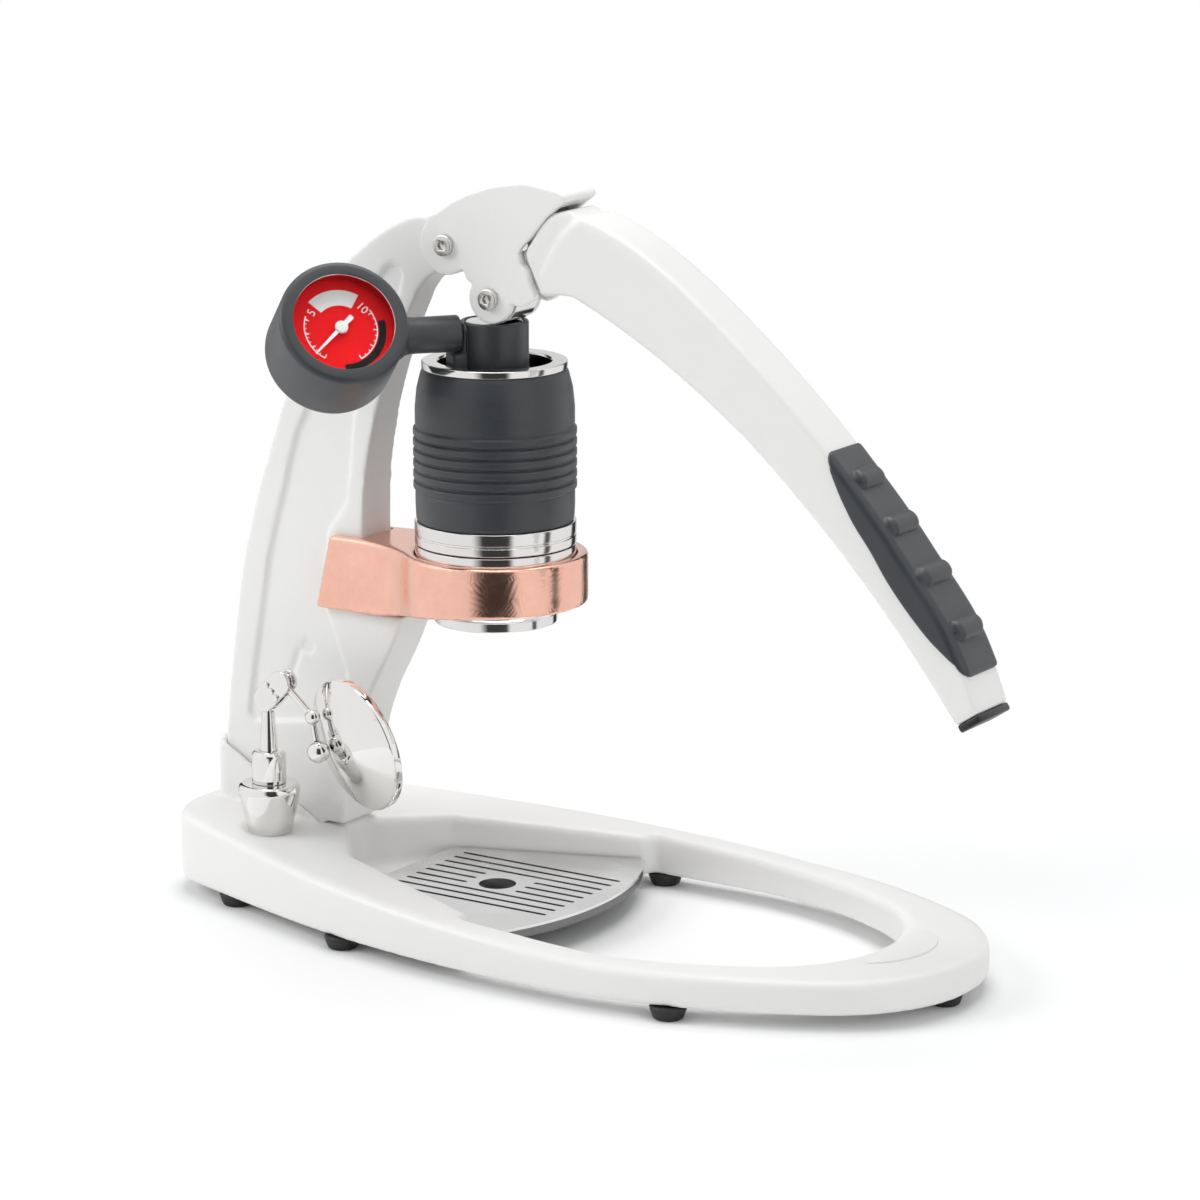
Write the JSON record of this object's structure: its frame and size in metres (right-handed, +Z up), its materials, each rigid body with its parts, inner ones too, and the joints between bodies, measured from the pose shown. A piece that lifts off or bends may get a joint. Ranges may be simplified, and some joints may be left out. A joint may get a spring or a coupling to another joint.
{
  "type": "espresso maker",
  "caption": "Hand lever espresso press on an open ring base, with a copper bracket, sleeved brew head, tilted gauge, drip tray and clip-on shot mirror.",
  "frame": {"origin": "centre of the bounding box, at the bottom of the feet", "axes": "+X towards the front, where the lever ends; +Z up; the gauge and the mirror stand are on the -Y side"},
  "size_m": [0.3362, 0.156, 0.278],
  "materials": {
    "white_casting": "fine satin powder coat",
    "white_lever": "fine satin powder coat",
    "copper_plate": "satin copper",
    "brushed_steel": "brushed",
    "dark_steel": "dark satin",
    "chrome": "polished",
    "dark_rubber": "matt silicone rubber",
    "black_rubber": "matt",
    "black_plastic": "satin",
    "bronze": "plain",
    "dial_print": "printed dial, red with white and black fields",
    "needle_white": "plain",
    "clear_lens": "clear",
    "mirror_face": "mirror"
  },
  "bodies": {
    "base": {"base_casting": "white_casting", "nose_pad": "white_casting", "rubber_feet": "black_rubber", "post": "white_casting", "post_bolts": "brushed_steel", "portafilter_bracket": "copper_plate", "bracket_screws": "dark_steel", "pivot_bush": "bronze", "brew_cylinder": "brushed_steel", "brew_sleeve": "dark_rubber", "portafilter_body": "brushed_steel", "filter_basket": "brushed_steel", "portafilter_gasket": "dark_rubber", "dispersion_screen": "brushed_steel"},
    "lever": {"lever_head": "white_lever", "lever_arm": "white_lever", "lever_dowels": "brushed_steel", "grip_pad": "dark_rubber", "lever_end_cap": "black_plastic", "pivot_pin": "brushed_steel", "press_pin": "brushed_steel"},
    "roller": {"press_roller": "brushed_steel"},
    "plunger": {"plunger_stem": "brushed_steel", "piston": "brushed_steel", "piston_seals": "dark_rubber"},
    "gauge_swivel": {"plunger_collar": "dark_steel", "gauge_elbow": "brushed_steel", "gauge_pipe": "brushed_steel", "gauge_boot": "dark_rubber", "gauge_case": "brushed_steel", "gauge_lens": "clear_lens", "gauge_dial": "dial_print", "gauge_movement": "bronze", "bourdon_tube": "bronze"},
    "needle": {"gauge_needle": "needle_white"},
    "tray": {"drip_tray": "brushed_steel"},
    "grate": {"drip_grate": "brushed_steel"},
    "mirror_foot": {"mirror_weight": "chrome", "mirror_collar": "chrome"},
    "mirror_mast": {"mirror_stem": "chrome"},
    "mirror_elbow": {"clamp_plates": "chrome", "clamp_screws": "chrome", "mirror_arm": "chrome"},
    "mirror_head": {"mirror_link": "chrome", "mirror_knob": "chrome", "mirror_cup": "chrome", "mirror_glass": "mirror_face"}
  },
  "joints": [
    {"name": "lever_lift", "type": "hinge", "parent": "base", "child": "lever", "pos_m": [-0.0546, 0, 0.253], "axis": [0, -1, 0], "range_deg": [0, 95]},
    {"name": "roller_spin", "type": "hinge", "parent": "lever", "child": "roller", "pos_m": [-0.0351, 0, 0.235], "axis": [0, 1, 0], "continuous": true},
    {"name": "plunger_slide", "type": "slide", "parent": "base", "child": "plunger", "axis": [0, 0, 1], "range_m": [0, 0.0134]},
    {"name": "gauge_turn", "type": "hinge", "parent": "plunger", "child": "gauge_swivel", "pos_m": [-0.0401, 0, 0.2213], "axis": [0, 0, 1], "range_deg": [0, 60]},
    {"name": "needle_turn", "type": "hinge", "parent": "gauge_swivel", "child": "needle", "pos_m": [-0.07205, -0.05047, 0.22647], "axis": [-0.6425, 0.5391, -0.5446], "range_deg": [0, 270], "stiffness_Nm_per_rad": 0.0001},
    {"name": "tray_lift", "type": "slide", "parent": "base", "child": "tray", "axis": [0, 0, 1], "range_m": [0, 0.012]},
    {"name": "grate_lift", "type": "slide", "parent": "tray", "child": "grate", "axis": [0, 0, 1], "range_m": [0, 0.012]},
    {"name": "stand_lift", "type": "slide", "parent": "base", "child": "mirror_foot", "axis": [0, 0, 1], "range_m": [0, 0.04]},
    {"name": "mirror_turn", "type": "hinge", "parent": "mirror_foot", "child": "mirror_mast", "pos_m": [-0.1227, -0.0305, 0.06], "axis": [0, 0, -1], "range_deg": [0, 60]},
    {"name": "mirror_bend", "type": "hinge", "parent": "mirror_mast", "child": "mirror_elbow", "pos_m": [-0.1227, -0.0305, 0.07911], "axis": [0, -1, 0], "range_deg": [-10, 15]},
    {"name": "mirror_tilt", "type": "hinge", "parent": "mirror_elbow", "child": "mirror_head", "pos_m": [-0.10213, -0.0305, 0.07468], "axis": [0, 1, 0], "range_deg": [-10, 10]}
  ],
  "couplings": [
    {"joint": "plunger_slide", "follows": "lever_lift", "m_per_rad": 0.008}
  ]
}
